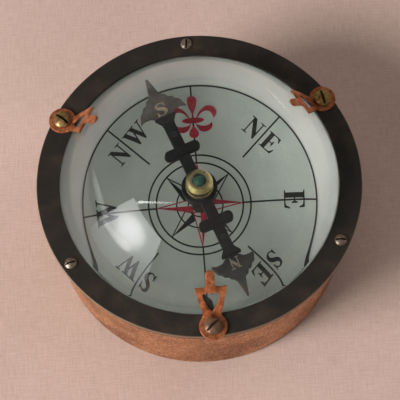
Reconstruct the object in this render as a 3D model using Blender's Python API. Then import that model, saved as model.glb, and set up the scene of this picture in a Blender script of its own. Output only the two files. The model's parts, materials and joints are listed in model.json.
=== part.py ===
"""Desk compass in a round copper case, under a thick magnifying dome lens.

Z = 0 is the table, the Z axis is the needle's pivot and +Y is the dial's
north. Sizes are in millimetres here and become metres in the mesh helpers.
"""
import math

import bmesh
import bpy
from mathutils import Vector

MM = 0.001

# ---- Driving dimensions -------------------------------------------------
GAP = 0.3                 # clearance kept between pieces that touch

BEZEL_RADIUS = 44.0
BEZEL_INNER_RADIUS = 37.85
BEZEL_TOP = 36.0
BEZEL_THICKNESS = 1.2
SCREW_CIRCLE = 41.45      # radius of all six screws

WALL_RADIUS = 41.2        # the case's outer wall
WALL = 2.2
FLOOR_THICKNESS = 2.0
FLANGE_RADIUS = 43.7
FLANGE_THICKNESS = 1.8
SCREW_DEPTH = 1.2         # the screws' hold in the flange

PAD_RADIUS = 38.0
PAD_THICKNESS = 0.8

DOME_RADIUS = 41.15       # radius of the lens's sphere
DOME_HEIGHT = 24.0        # top of the lens above the bezel
LENS_EDGE_RADIUS = 37.2
LENS_FLAT = 34.5          # height of the lens's flat underside

DIAL_TOP = 24.4
CARD_RADIUS = 36.3
CARD_THICKNESS = 0.4
PLATE_THICKNESS = 0.8
SLEEVE_WALL = 2.0

NEEDLE_REST = 19.5        # degrees from dial north, towards the west, of the south end
NEEDLE_HEIGHT = 5.4       # the blade's underside above the dial
TIP_RADIUS = 25.6
BLADE_HALF_LENGTH = 16.3
BLADE_WIDTH = 2.8
BLADE_THICKNESS = 0.7
BLADE_BOSS_RADIUS = 3.6
STOCK_RADIUS = 8.2        # where the anchor's stock crosses the blade
RIVET_RADIUS = 12.0

CLIP_THICKNESS = 0.7
CLIP_EYE_RADIUS = 3.7
CLIP_FLAT = 2.2           # flat length from the screw's axis to the first bend
CLIP_BEND = 0.9           # radius of the first bend
CLIP_RISE = 62.0          # degrees above level after the first bend
CLIP_ARM_RADIUS = 39.5    # the arm's long curve over the dome
CLIP_TIP_SLOPE = 42.0     # degrees above level at the tongue's tip

CLIP_ANGLES = {"south": -90.0, "east": 30.0, "west": 150.0}
BEZEL_SCREW_ANGLES = {"north": 90.0, "southeast": -30.0, "southwest": -150.0}

# ---- Heights that follow ------------------------------------------------
BEZEL_UNDER = BEZEL_TOP - BEZEL_THICKNESS
CASE_TOP = BEZEL_UNDER - GAP
FLANGE_UNDER = CASE_TOP - FLANGE_THICKNESS
CASE_INNER_RADIUS = WALL_RADIUS - WALL
CASE_FOOT = GAP
FLOOR_UNDER = PAD_THICKNESS + GAP
FLOOR_TOP = FLOOR_UNDER + FLOOR_THICKNESS
SLEEVE_RADIUS = CASE_INNER_RADIUS - GAP
SLEEVE_INNER_RADIUS = SLEEVE_RADIUS - SLEEVE_WALL
CARD_UNDER = DIAL_TOP - CARD_THICKNESS
PLATE_TOP = CARD_UNDER - GAP
PLATE_UNDER = PLATE_TOP - PLATE_THICKNESS
GASKET_TOP = LENS_FLAT - GAP
GASKET_UNDER = GASKET_TOP - 1.0
BLADE_UNDER = DIAL_TOP + NEEDLE_HEIGHT
BLADE_TOP = BLADE_UNDER + BLADE_THICKNESS

# Radii of the threaded parts and their clearance holes.
CLIP_SCREW_RADIUS = 1.25
CLIP_SCREW_HEAD = 2.4
BEZEL_SCREW_RADIUS = 0.9
BEZEL_SCREW_HEAD = 1.65
STUD_RADIUS = 1.1
POST_FLANGE_RADIUS = 1.8
PIN_RADIUS = 0.5

ROUND_STEPS = 48


# ---- Mesh helpers -------------------------------------------------------
def arc(centre, radius, start, end, steps):
    """Points along an arc, angles in degrees."""
    points = []
    for i in range(steps + 1):
        angle = math.radians(start + (end - start) * i / steps)
        points.append((centre[0] + radius * math.cos(angle),
                       centre[1] + radius * math.sin(angle)))
    return points


def circle(centre, radius, steps=20):
    return arc(centre, radius, 0, 360, steps)[:-1]


def make_material(name, colour, roughness, metallic, alpha=1.0):
    material = bpy.data.materials.new(name)
    material.use_nodes = True
    shader = material.node_tree.nodes["Principled BSDF"]
    shader.inputs["Base Color"].default_value = (*colour, 1.0)
    shader.inputs["Roughness"].default_value = roughness
    shader.inputs["Metallic"].default_value = metallic
    shader.inputs["Alpha"].default_value = alpha
    return material


def finish_object(name, bm, finish, location=(0.0, 0.0, 0.0), turn=0.0, parent=None):
    """Turn a bmesh into a shaded object; location is in millimetres, turn in degrees."""
    bmesh.ops.recalc_face_normals(bm, faces=bm.faces[:])
    mesh = bpy.data.meshes.new(name)
    bm.to_mesh(mesh)
    bm.free()
    mesh.shade_smooth()
    mesh.set_sharp_from_angle(angle=math.radians(35))
    mesh.materials.append(make_material(name, *finish))
    obj = bpy.data.objects.new(name, mesh)
    bpy.context.collection.objects.link(obj)
    obj.location = Vector(location) * MM
    obj.rotation_euler.z = math.radians(turn)
    obj.parent = parent
    return obj


def turned_mesh(profile, steps=ROUND_STEPS):
    """Spin an (r, z) profile about Z. A profile that starts on the axis stays open there."""
    bm = bmesh.new()
    verts = [bm.verts.new((r * MM, 0.0, z * MM)) for r, z in profile]
    pairs = list(zip(verts, verts[1:]))
    if profile[0][0] > 0.0:
        pairs.append((verts[-1], verts[0]))
    edges = [bm.edges.new(pair) for pair in pairs]
    bmesh.ops.spin(bm, geom=verts + edges, cent=(0, 0, 0), axis=(0, 0, 1), dvec=(0, 0, 0),
                   angle=math.tau, steps=steps, use_merge=True, use_duplicate=False)
    bmesh.ops.remove_doubles(bm, verts=bm.verts[:], dist=1e-6)
    return bm


def turned(name, profile, finish, steps=ROUND_STEPS, **placing):
    return finish_object(name, turned_mesh(profile, steps), finish, **placing)


def ring_profile(inner, outer, bottom, top):
    return [(inner, bottom), (outer, bottom), (outer, top), (inner, top)]


def plate_mesh(outline, holes, bottom, top):
    """Extrude a flat outline with holes between two heights."""
    bm = bmesh.new()
    for loop in [outline, *holes]:
        verts = [bm.verts.new((x * MM, y * MM, bottom * MM)) for x, y in loop]
        for a, b in zip(verts, verts[1:] + verts[:1]):
            bm.edges.new((a, b))
    bmesh.ops.triangle_fill(bm, use_beauty=True, edges=bm.edges[:])
    grown = bmesh.ops.extrude_face_region(bm, geom=bm.faces[:])["geom"]
    top_verts = [item for item in grown if isinstance(item, bmesh.types.BMVert)]
    bmesh.ops.translate(bm, verts=top_verts, vec=(0, 0, (top - bottom) * MM))
    return bm


def plate(name, outline, holes, bottom, top, finish, **placing):
    return finish_object(name, plate_mesh(outline, holes, bottom, top), finish, **placing)


def drill(target, name, radius, bottom, top, places):
    """Cut round holes along Z through the target at (x, y) places."""
    bm = bmesh.new()
    for x, y in places:
        made = bmesh.ops.create_cone(bm, cap_ends=True, segments=20, radius1=radius * MM,
                                     radius2=radius * MM, depth=(top - bottom) * MM)
        bmesh.ops.translate(bm, verts=made["verts"],
                            vec=Vector((x, y, (bottom + top) / 2)) * MM)
    cutter = finish_object(name, bm, ((0.5, 0.5, 0.5), 0.5, 0.0))
    cutter.hide_render = True
    cutter.display_type = 'WIRE'
    cut = target.modifiers.new(name, 'BOOLEAN')
    cut.operation = 'DIFFERENCE'
    cut.solver = 'EXACT'
    cut.object = cutter


def on_screw_circle(angle):
    return (SCREW_CIRCLE * math.cos(math.radians(angle)),
            SCREW_CIRCLE * math.sin(math.radians(angle)))


# ---- Finishes: colour, roughness, metallic, alpha -----------------------
COPPER = ((0.50, 0.23, 0.12), 0.55, 1.0)
CLIP_COPPER = ((0.72, 0.28, 0.13), 0.35, 1.0)
DARK_BRONZE = ((0.022, 0.018, 0.016), 0.5, 1.0)
BRASS = ((0.55, 0.38, 0.16), 0.35, 1.0)
OLD_BRASS = ((0.30, 0.20, 0.12), 0.4, 1.0)
STEEL = ((0.55, 0.55, 0.55), 0.3, 1.0)
BLACK_STEEL = ((0.012, 0.013, 0.014), 0.45, 0.6)
GUN_METAL = ((0.10, 0.10, 0.11), 0.4, 0.9)
FELT = ((0.02, 0.09, 0.04), 0.95, 0.0)
GASKET = ((0.20, 0.20, 0.19), 0.7, 0.0)
WHITE_PAINT = ((0.72, 0.74, 0.70), 0.5, 0.0)
CARD = ((0.52, 0.58, 0.52), 0.8, 0.0)
GLASS = ((0.9, 0.95, 0.93), 0.02, 0.0, 0.25)
JEWEL = ((0.03, 0.16, 0.12), 0.1, 0.0)


# ---- Case and what lies in it -------------------------------------------
def build_case():
    foot_round = 0.8
    profile = [(0.0, FLOOR_UNDER), (PAD_RADIUS + 0.5, FLOOR_UNDER), (PAD_RADIUS + 0.5, CASE_FOOT)]
    profile += arc((WALL_RADIUS - foot_round, CASE_FOOT + foot_round), foot_round, -90, 0, 3)
    profile += [(WALL_RADIUS, FLANGE_UNDER), (FLANGE_RADIUS, FLANGE_UNDER),
                (FLANGE_RADIUS, CASE_TOP), (CASE_INNER_RADIUS, CASE_TOP),
                (CASE_INNER_RADIUS, FLOOR_TOP), (0.0, FLOOR_TOP)]
    case = turned("case_bowl", profile, COPPER, steps=64)
    drill_screw_holes(case, "case_bowl", CASE_TOP - SCREW_DEPTH - GAP, CASE_TOP + 1.0)

    pad_profile = [(0.0, 0.0), (PAD_RADIUS, 0.0), (PAD_RADIUS, PAD_THICKNESS), (0.0, PAD_THICKNESS)]
    turned("base_pad", pad_profile, FELT, steps=32)


def drill_screw_holes(target, name, bottom, top):
    clip_places = [on_screw_circle(a) for a in CLIP_ANGLES.values()]
    bezel_places = [on_screw_circle(a) for a in BEZEL_SCREW_ANGLES.values()]
    drill(target, name + "_clip_holes", CLIP_SCREW_RADIUS + GAP, bottom, top, clip_places)
    drill(target, name + "_bezel_holes", BEZEL_SCREW_RADIUS + GAP, bottom, top, bezel_places)


def build_dial():
    hole = STUD_RADIUS + GAP
    turned("dial_support", ring_profile(SLEEVE_INNER_RADIUS, SLEEVE_RADIUS,
                                        FLOOR_TOP + GAP, PLATE_UNDER - GAP), OLD_BRASS)
    turned("dial_plate", ring_profile(hole, SLEEVE_RADIUS, PLATE_UNDER, PLATE_TOP), BRASS)
    turned("dial_card", ring_profile(hole, CARD_RADIUS, CARD_UNDER, DIAL_TOP), CARD)
    turned("spacer_sleeve", ring_profile(SLEEVE_INNER_RADIUS, SLEEVE_RADIUS,
                                         PLATE_TOP + GAP, GASKET_UNDER - GAP), WHITE_PAINT)


def build_lens():
    turned("lens_gasket", ring_profile(LENS_EDGE_RADIUS - 1.2, SLEEVE_RADIUS,
                                       GASKET_UNDER, GASKET_TOP), GASKET)
    sphere_centre = BEZEL_TOP + DOME_HEIGHT - DOME_RADIUS
    edge_angle = math.degrees(math.acos(LENS_EDGE_RADIUS / DOME_RADIUS))
    chamfer = 0.3
    profile = [(0.0, LENS_FLAT), (LENS_EDGE_RADIUS - chamfer, LENS_FLAT),
               (LENS_EDGE_RADIUS, LENS_FLAT + chamfer)]
    profile += arc((0.0, sphere_centre), DOME_RADIUS, edge_angle, 90, 8)
    profile[-1] = (0.0, profile[-1][1])
    turned("dome_lens", profile, GLASS)


def build_bezel():
    chamfer = 0.3
    profile = [(BEZEL_INNER_RADIUS, BEZEL_UNDER), (BEZEL_RADIUS, BEZEL_UNDER),
               (BEZEL_RADIUS, BEZEL_TOP - chamfer), (BEZEL_RADIUS - chamfer, BEZEL_TOP),
               (BEZEL_INNER_RADIUS + chamfer, BEZEL_TOP), (BEZEL_INNER_RADIUS, BEZEL_TOP - chamfer)]
    bezel = turned("bezel_ring", profile, DARK_BRONZE, steps=64)
    drill_screw_holes(bezel, "bezel_ring", BEZEL_UNDER - 1.0, BEZEL_TOP + 1.0)


# ---- Screws -------------------------------------------------------------
def slotted_screw(name, angle, shank, head, seat, rim, crown, slot_turn, finish):
    """Dome-head screw: its head sits on seat; the crown rises above a short rim."""
    x, y = on_screw_circle(angle)
    end = CASE_TOP - SCREW_DEPTH
    profile = [(0.0, end), (shank, end), (shank, seat), (head, seat), (head, seat + rim)]
    ball = (head ** 2 + crown ** 2) / (2 * crown)
    half = math.degrees(math.asin(head / ball))
    profile += arc((0.0, seat + rim + crown - ball), ball, 90 - half, 90, 4)[1:]
    profile[-1] = (0.0, profile[-1][1])
    screw = turned(name, profile, finish, steps=16, location=(x, y, 0.0))

    slot_width = 0.26 * head
    slot = bmesh.new()
    bmesh.ops.create_cube(slot, size=1.0)
    bmesh.ops.scale(slot, verts=slot.verts[:], vec=Vector((3 * head, slot_width, 2 * crown)) * MM)
    cutter = finish_object(name + "_slot", slot, finish, turn=slot_turn,
                           location=(x, y, seat + rim + crown * 0.9))
    cutter.hide_render = True
    cutter.display_type = 'WIRE'
    cut = screw.modifiers.new("slot", 'BOOLEAN')
    cut.operation = 'DIFFERENCE'
    cut.solver = 'EXACT'
    cut.object = cutter


def build_screws():
    clip_seat = BEZEL_TOP + GAP + CLIP_THICKNESS + GAP
    for (side, angle), slot_turn in zip(CLIP_ANGLES.items(), (40.0, 110.0, -55.0)):
        slotted_screw("clip_screw_" + side, angle, CLIP_SCREW_RADIUS, CLIP_SCREW_HEAD,
                      clip_seat, 0.7, 0.9, slot_turn, OLD_BRASS)
    for (side, angle), slot_turn in zip(BEZEL_SCREW_ANGLES.items(), (85.0, 60.0, 15.0)):
        slotted_screw("bezel_screw_" + side, angle, BEZEL_SCREW_RADIUS, BEZEL_SCREW_HEAD,
                      BEZEL_TOP + GAP, 0.3, 0.7, slot_turn, OLD_BRASS)


# ---- Lens clips ---------------------------------------------------------
def clip_path(s, normal):
    """Point (reach, height) on the clip's bent centre line, at length s from the screw's axis.

    normal moves the point off the centre line, up where the clip lies flat.
    """
    level = BEZEL_TOP + GAP + CLIP_THICKNESS / 2
    rise = math.radians(CLIP_RISE)
    bend_length = CLIP_BEND * rise
    if s <= CLIP_FLAT:
        slope, reach, height = 0.0, s, level
    elif s <= CLIP_FLAT + bend_length:
        slope = (s - CLIP_FLAT) / CLIP_BEND
        reach = CLIP_FLAT + CLIP_BEND * math.sin(slope)
        height = level + CLIP_BEND * (1 - math.cos(slope))
    else:
        slope = rise - (s - CLIP_FLAT - bend_length) / CLIP_ARM_RADIUS
        reach = (CLIP_FLAT + CLIP_BEND * math.sin(rise)
                 + CLIP_ARM_RADIUS * (math.sin(rise) - math.sin(slope)))
        height = (level + CLIP_BEND * (1 - math.cos(rise))
                  + CLIP_ARM_RADIUS * (math.cos(slope) - math.cos(rise)))
    return reach - normal * math.sin(slope), height + normal * math.cos(slope)


def clip_length():
    return CLIP_FLAT + CLIP_BEND * math.radians(CLIP_RISE) + \
        CLIP_ARM_RADIUS * math.radians(CLIP_RISE - CLIP_TIP_SLOPE)


def clip_outline():
    """Right half of the flat blank from the tongue's tip to the eye, then mirrored."""
    neck, shoulder, tongue = 2.6, 4.25, 1.25
    shoulder_at = clip_length() - 4.9
    eye_join = math.degrees(math.asin(neck / CLIP_EYE_RADIUS))
    right = arc((0.0, clip_length() - tongue), tongue, 90, 0, 4)
    right += [(tongue, shoulder_at + 0.2), (shoulder, shoulder_at), (neck, 3.6)]
    right += arc((0.0, 0.0), CLIP_EYE_RADIUS, 90 - eye_join, -90, 12)
    left = [(-x, y) for x, y in reversed(right[1:-1])]
    return right + left


def clip_window():
    """Heart-like window: a point towards the eye and a straight top."""
    top = clip_length() - 6.5
    return [(0.0, 4.6), (1.2, 6.5), (2.15, top - 0.5), (1.7, top), (-1.7, top), (-2.15, top - 0.5),
            (-1.2, 6.5)]


def build_clips():
    for side, angle in CLIP_ANGLES.items():
        hole = circle((0.0, 0.0), CLIP_SCREW_RADIUS + GAP, 16)
        half = CLIP_THICKNESS / 2
        bm = plate_mesh(clip_outline(), [hole, clip_window()], -half, half)
        cuts = [CLIP_FLAT + 0.3 * i for i in range(5)]
        cuts += [CLIP_FLAT + 2.0 + 1.3 * i for i in range(10)]
        for s in cuts:
            bmesh.ops.bisect_plane(bm, geom=bm.verts[:] + bm.edges[:] + bm.faces[:], dist=1e-7,
                                   plane_co=(0, s * MM, 0), plane_no=(0, 1, 0))
        for vert in bm.verts:
            reach, height = clip_path(vert.co.y / MM, vert.co.z / MM)
            vert.co.y = reach * MM
            vert.co.z = height * MM
        x, y = on_screw_circle(angle)
        finish_object("lens_clip_" + side, bm, CLIP_COPPER, location=(x, y, 0.0), turn=angle + 90.0)


# ---- Pivot --------------------------------------------------------------
def build_pivot():
    post_seat = DIAL_TOP + GAP
    post_top = DIAL_TOP + 3.4
    bore = PIN_RADIUS + GAP
    bore_floor = post_top - 1.6
    stud_end = PLATE_UNDER - 4.0
    profile = [(0.0, stud_end), (STUD_RADIUS, stud_end), (STUD_RADIUS, post_seat),
               (POST_FLANGE_RADIUS, post_seat), (POST_FLANGE_RADIUS, post_seat + 0.5),
               (1.4, post_seat + 0.8), (1.3, post_top), (bore, post_top), (bore, bore_floor),
               (0.0, bore_floor)]
    turned("pivot_post", profile, BRASS, steps=32)

    pin_top = BLADE_TOP + 1.6
    pin = [(0.0, bore_floor + GAP), (PIN_RADIUS, bore_floor + GAP), (PIN_RADIUS, pin_top - 1.5),
           (0.0, pin_top)]
    turned("pivot_pin", pin, STEEL, steps=16)

    washer_top = PLATE_UNDER - GAP
    washer_under = washer_top - 0.6
    turned("pivot_washer", ring_profile(STUD_RADIUS + GAP, 3.6, washer_under, washer_top),
           STEEL, steps=32)
    flats = 4.5
    hexagon = circle((0.0, 0.0), flats / math.sqrt(3), 6)
    plate("pivot_nut", hexagon, [circle((0.0, 0.0), STUD_RADIUS + GAP, 24)],
          washer_under - GAP - 2.0, washer_under - GAP, BRASS)


# ---- Needle: everything that turns, parented to an empty on its axis ----
def blade_outline():
    """Right half of the blade with its round boss and two stocks, from the +Y end to the -Y end."""
    half, stock_half, stock_reach = BLADE_WIDTH / 2, 1.05, 3.9
    boss_start = math.degrees(math.acos(half / BLADE_BOSS_RADIUS))
    boss = arc((0.0, 0.0), BLADE_BOSS_RADIUS, boss_start, -boss_start, 10)

    def stock(centre):
        end = arc((stock_reach - stock_half, centre), stock_half, 90, -90, 6)
        return [(half, centre + stock_half), *end, (half, centre - stock_half)]

    right = [(half, BLADE_HALF_LENGTH), *stock(STOCK_RADIUS), *boss, *stock(-STOCK_RADIUS),
             (half, -BLADE_HALF_LENGTH)]
    return right + [(-x, y) for x, y in reversed(right)]


def head_outline():
    """An anchor's arms with a spear tip, pointing along +Y, on a tang that runs inwards."""
    tang = 1.0
    right = [(0.12, TIP_RADIUS), (0.85, 21.3), (1.8, 20.6), (3.1, 19.2), (4.2, 18.2), (4.9, 16.7),
             (3.5, 17.1), (2.3, 17.0), (1.5, 16.2), (tang, 15.2), (tang, RIVET_RADIUS - 1.4)]
    return right + [(-x, y) for x, y in reversed(right)]


def build_needle():
    axis = bpy.data.objects.new("needle_axis", None)
    bpy.context.collection.objects.link(axis)
    axis.rotation_euler.z = math.radians(NEEDLE_REST)

    boss_hole = 1.9
    rivet = 0.45
    rivet_hole = rivet + 0.25
    plate("needle_blade", blade_outline(),
          [circle((0.0, 0.0), boss_hole, 24), circle((0.0, RIVET_RADIUS), rivet_hole, 12),
           circle((0.0, -RIVET_RADIUS), rivet_hole, 12)],
          BLADE_UNDER, BLADE_TOP, BLACK_STEEL, parent=axis)

    head_top = BLADE_UNDER - GAP
    head_under = head_top - 0.4
    for side, turn in (("south", 0.0), ("north", 180.0)):
        plate("needle_head_" + side, head_outline(), [circle((0.0, RIVET_RADIUS), rivet_hole, 12)],
              head_under, head_top, GUN_METAL, turn=turn, parent=axis)
        sign = 1.0 if turn == 0.0 else -1.0
        rivet_profile = [(0.0, head_under - GAP - 0.3), (0.9, head_under - GAP - 0.3),
                         (0.9, head_under - GAP), (rivet, head_under - GAP), (rivet, BLADE_TOP + GAP),
                         (0.8, BLADE_TOP + GAP), (0.6, BLADE_TOP + GAP + 0.25),
                         (0.0, BLADE_TOP + GAP + 0.4)]
        turned("needle_rivet_" + side, rivet_profile, STEEL, steps=12,
               location=(0.0, sign * RIVET_RADIUS, 0.0), parent=axis)

    # The cap's spigot passes the blade; the collar under the blade holds it there.
    cap_seat = BLADE_TOP + GAP
    spigot = boss_hole - GAP
    spigot_end = BLADE_UNDER - 1.4
    cavity = 1.1
    cap_top = BLADE_TOP + 2.5
    jewel_seat = cap_top - 1.3
    jewel_hole = 1.5
    cap = [(cavity, spigot_end), (spigot, spigot_end), (spigot, cap_seat), (2.85, cap_seat),
           (2.85, cap_seat + 0.5), (2.5, cap_seat + 0.65), (2.5, cap_seat + 0.9),
           (2.85, cap_seat + 1.05), (2.8, cap_top - 0.7), (2.1, cap_top), (jewel_hole, cap_top),
           (jewel_hole, jewel_seat), (cavity, jewel_seat)]
    turned("hub_cap", cap, BRASS, steps=32, parent=axis)
    turned("hub_collar", ring_profile(boss_hole, 3.2, spigot_end, BLADE_UNDER - GAP), BLACK_STEEL,
           steps=32, parent=axis)

    # The jewel rides on the pin's point in a conical cup.
    jewel_under = jewel_seat + GAP
    jewel_radius = jewel_hole - GAP / 2
    cup_top = jewel_under + 0.5
    jewel = [(0.0, cup_top), (0.5, jewel_under), (jewel_radius, jewel_under),
             (jewel_radius, cap_top - 0.3), (0.9, cap_top + 0.2), (0.0, cap_top + 0.35)]
    turned("cap_jewel", jewel, JEWEL, steps=24, parent=axis)


# ---- Build --------------------------------------------------------------
for old in list(bpy.data.objects):
    bpy.data.objects.remove(old, do_unlink=True)

build_case()
build_dial()
build_lens()
build_bezel()
build_screws()
build_clips()
build_pivot()
build_needle()
bpy.context.view_layer.update()
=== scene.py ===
"""Looks of the desk compass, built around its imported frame.

Sizes are in millimetres here and become metres in the mesh helpers. The Z axis
is the needle's pivot, +Y is the dial's north and Z = 0 is the table.
"""

import json
import math

import bmesh
import bpy
from mathutils import Matrix, Vector


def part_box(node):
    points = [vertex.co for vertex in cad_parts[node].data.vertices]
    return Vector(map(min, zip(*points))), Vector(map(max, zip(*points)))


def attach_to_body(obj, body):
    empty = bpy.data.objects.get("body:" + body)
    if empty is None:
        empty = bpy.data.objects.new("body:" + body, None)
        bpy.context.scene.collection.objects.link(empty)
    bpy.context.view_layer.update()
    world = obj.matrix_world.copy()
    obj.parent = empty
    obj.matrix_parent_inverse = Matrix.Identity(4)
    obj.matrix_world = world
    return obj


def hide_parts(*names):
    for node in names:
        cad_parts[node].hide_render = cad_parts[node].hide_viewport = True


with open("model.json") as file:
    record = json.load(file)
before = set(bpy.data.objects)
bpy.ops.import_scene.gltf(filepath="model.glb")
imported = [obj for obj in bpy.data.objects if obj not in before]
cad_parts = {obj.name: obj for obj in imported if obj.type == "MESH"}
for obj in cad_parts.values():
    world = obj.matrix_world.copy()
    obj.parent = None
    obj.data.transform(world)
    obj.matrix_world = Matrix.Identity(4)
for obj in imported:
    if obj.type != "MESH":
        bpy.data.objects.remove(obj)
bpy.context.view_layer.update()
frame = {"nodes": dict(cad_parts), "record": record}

MM = 0.001


# ---- Camera ----
def make_camera(bezel_top):
    """A long lens above the front, aimed near the middle of the bezel."""
    data = bpy.data.cameras.new("camera")
    data.sensor_width = 36.0
    data.lens = 126.18
    data.clip_start = 0.01
    camera = bpy.data.objects.new("camera", data)
    bpy.context.scene.collection.objects.link(camera)
    place = Vector((-9.86, -144.64, bezel_top + 350.0)) * MM
    target = Vector((0.0, 0.0, bezel_top)) * MM
    turn = (target - place).to_track_quat('-Z', 'Y').to_matrix().to_4x4()
    for degrees, axis in ((-1.26, 'Z'), (-0.03, 'Y'), (-0.83, 'X')):
        turn = turn @ Matrix.Rotation(math.radians(degrees), 4, axis)
    camera.matrix_world = Matrix.Translation(place) @ turn
    bpy.context.scene.camera = camera


def span(node):
    """Lowest and highest corner of a CAD node, in millimetres."""
    low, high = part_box(node)
    return low / MM, high / MM


def middle(node):
    low, high = span(node)
    return (low + high) / 2


make_camera(span("bezel_ring")[1].z)

# ---- Sizes ----
GAP = 0.3                 # the CAD's clearance, which the looks close up
SKIN = 0.02               # what is left of it between pieces that touch

CASE_FOOT, CASE_TOP = span("case_bowl")[0].z, span("case_bowl")[1].z
FLANGE_RADIUS = span("case_bowl")[1].x
FLANGE_UNDER = CASE_TOP - 1.8
WALL_RADIUS = FLANGE_RADIUS - 2.5
CASE_INNER_RADIUS = WALL_RADIUS - 2.2
CASE_FLOOR = 2.0          # thickness of the case's floor
PAD_RECESS = 0.8          # how deep the pad sits in it

BEZEL_RADIUS, BEZEL_TOP = span("bezel_ring")[1].xz
BEZEL_INNER_RADIUS = 37.85

LENS_FLAT, LENS_TOP = span("dome_lens")[0].z, span("dome_lens")[1].z
LENS_RADIUS = BEZEL_INNER_RADIUS - 0.12
DOME_RADIUS = 41.15       # radius of the lens's sphere

SLEEVE_RADIUS, SLEEVE_TOP = span("spacer_sleeve")[1].xz
SLEEVE_INNER_RADIUS = SLEEVE_RADIUS - 2.0

CARD_RADIUS, DIAL_TOP = span("dial_card")[1].xz
DIAL_TURN = -0.7          # degrees that the printed dial sits off the screws' pattern
RING_A, RING_B, RING_C, RING_D, RING_E = 22.0, 9.53, 8.09, 4.3, 2.15

BLADE_UNDER, BLADE_TOP = span("needle_blade")[0].z, span("needle_blade")[1].z
RIVET_PLACE = middle("needle_rivet_south")
RIVET_RADIUS = RIVET_PLACE.xy.length
NEEDLE_REST = math.degrees(math.atan2(-RIVET_PLACE.x, RIVET_PLACE.y))
RIVET_HOLE = 0.55
TIP_RADIUS = 25.6
BLADE_HALF_LENGTH = 16.3
STOCK_RADIUS = 8.2        # where the anchor's stocks cross the blade
STOCK_HALF_WIDTH = 1.05
STOCK_REACH = 3.75

HUB_SEAT = BLADE_TOP + SKIN
HUB_TOP = HUB_SEAT + 2.45
HUB_RADIUS = 2.8
HUB_GROOVE = (HUB_SEAT + 0.6, HUB_SEAT + 1.35)

CLIP_THICKNESS = 0.7
CLIP_DROP = 0.25          # the clips lie this much lower than their CAD solids
CLIP_EYE_RADIUS = 3.7
CLIP_FLAT = 2.2           # flat length from the screw's axis to the first bend
CLIP_BEND = 0.9           # radius of the first bend
CLIP_RISE = 62.0          # degrees above level after it
CLIP_ARM_RADIUS = 39.5    # the arm's long curve over the dome
CLIP_TIP_SLOPE = 42.0     # degrees above level at the tongue's tip
CLIP_SIDES = ("south", "east", "west")
BEZEL_SCREW_SIDES = ("north", "southeast", "southwest")

# Seat height of each kind of screw, then its head's radius, rim top and top.
CLIP_SCREW_SEAT = BEZEL_TOP + GAP + CLIP_THICKNESS - CLIP_DROP + SKIN
CLIP_SCREW_HEAD = (2.4, CLIP_SCREW_SEAT + 0.75, span("clip_screw_south")[1].z - 0.4)
BEZEL_SCREW_SEAT = BEZEL_TOP + SKIN
BEZEL_SCREW_HEAD = (span("bezel_screw_north")[1].x - middle("bezel_screw_north").x,
                    BEZEL_SCREW_SEAT + 0.28, span("bezel_screw_north")[1].z - GAP)


# ---- Flat curves ----
def polar(radius, angle):
    """The point at that distance and angle, in degrees, from the middle."""
    return (radius * math.cos(math.radians(angle)), radius * math.sin(math.radians(angle)))


def arc(centre, radius, start, end, steps):
    """Points along an arc, angles in degrees."""
    spokes = [polar(radius, start + (end - start) * i / steps) for i in range(steps + 1)]
    return [(centre[0] + x, centre[1] + y) for x, y in spokes]


def circle(centre, radius, steps):
    return arc(centre, radius, 0, 360, steps)[:-1]


def line(start, end, width):
    """The outline of a straight line of that width."""
    a, b = Vector(start), Vector(end)
    side = (b - a).normalized().orthogonal() * width / 2
    return [tuple(a - side), tuple(b - side), tuple(b + side), tuple(a + side)]


def filleted(corners, closed=True, degrees_per_step=15.0):
    """Round the corners given as (x, y, radius); corners given as (x, y) stay sharp."""
    points = []
    count = len(corners)
    for i, corner in enumerate(corners):
        here = Vector(corner[:2])
        back = Vector(corners[i - 1][:2]) - here
        ahead = Vector(corners[(i + 1) % count][:2]) - here
        stays_sharp = len(corner) < 3 or (not closed and i in (0, count - 1))
        turn = 0.0 if stays_sharp else math.pi - back.angle(ahead)
        if turn < 0.02:
            points.append(tuple(here))
            continue
        # An edge too short for its fillets takes smaller ones.
        reach = min(corner[2] * math.tan(turn / 2), 0.48 * back.length, 0.48 * ahead.length)
        back.normalize()
        ahead.normalize()
        inward = (back + ahead).normalized()
        centre = here + inward * (reach / math.tan(turn / 2) / math.cos(turn / 2))
        first, last = here + back * reach - centre, here + ahead * reach - centre
        steps = max(2, round(math.degrees(turn) / degrees_per_step))
        spin = first.angle_signed(last)
        for step in range(steps + 1):
            spoke = first.copy()
            spoke.rotate(Matrix.Rotation(-spin * step / steps, 2))
            points.append(tuple(centre + spoke))
    return points


def smooth_path(knots, per=6):
    """Catmull-Rom curve through open knots."""
    knots = [Vector(knot) for knot in knots]
    ends = [knots[0] * 2 - knots[1], *knots, knots[-1] * 2 - knots[-2]]
    points = []
    for a, b, c, d in zip(ends, ends[1:], ends[2:], ends[3:]):
        for i in range(per):
            t = i / per
            points.append(tuple(0.5 * (2 * b + (c - a) * t + (2 * a - 5 * b + 4 * c - d) * t * t
                                       + (3 * b - a - 3 * c + d) * t ** 3)))
    return points + [tuple(knots[-1])]


def mirrored(right):
    """Close a right half into a symmetric outline."""
    return right + [(-point[0], *point[1:]) for point in reversed(right) if abs(point[0]) > 1e-6]


def signed_area(loop):
    return sum(a[0] * b[1] - b[0] * a[1] for a, b in zip(loop, loop[1:] + loop[:1])) / 2


def moved_in(loop, distance):
    """The loop moved to its own left by distance."""
    if distance == 0.0:
        return loop
    result = []
    for i, point in enumerate(loop):
        here = Vector(point)
        back = (here - Vector(loop[i - 1])).normalized()
        ahead = (Vector(loop[(i + 1) % len(loop)]) - here).normalized()
        left_back, left_ahead = Vector((-back.y, back.x)), Vector((-ahead.y, ahead.x))
        bisector = left_back + left_ahead
        if bisector.length < 1e-6:
            bisector = left_back
        bisector.normalize()
        result.append(tuple(here + bisector * (distance / max(bisector.dot(left_back), 0.5))))
    return result


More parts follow.
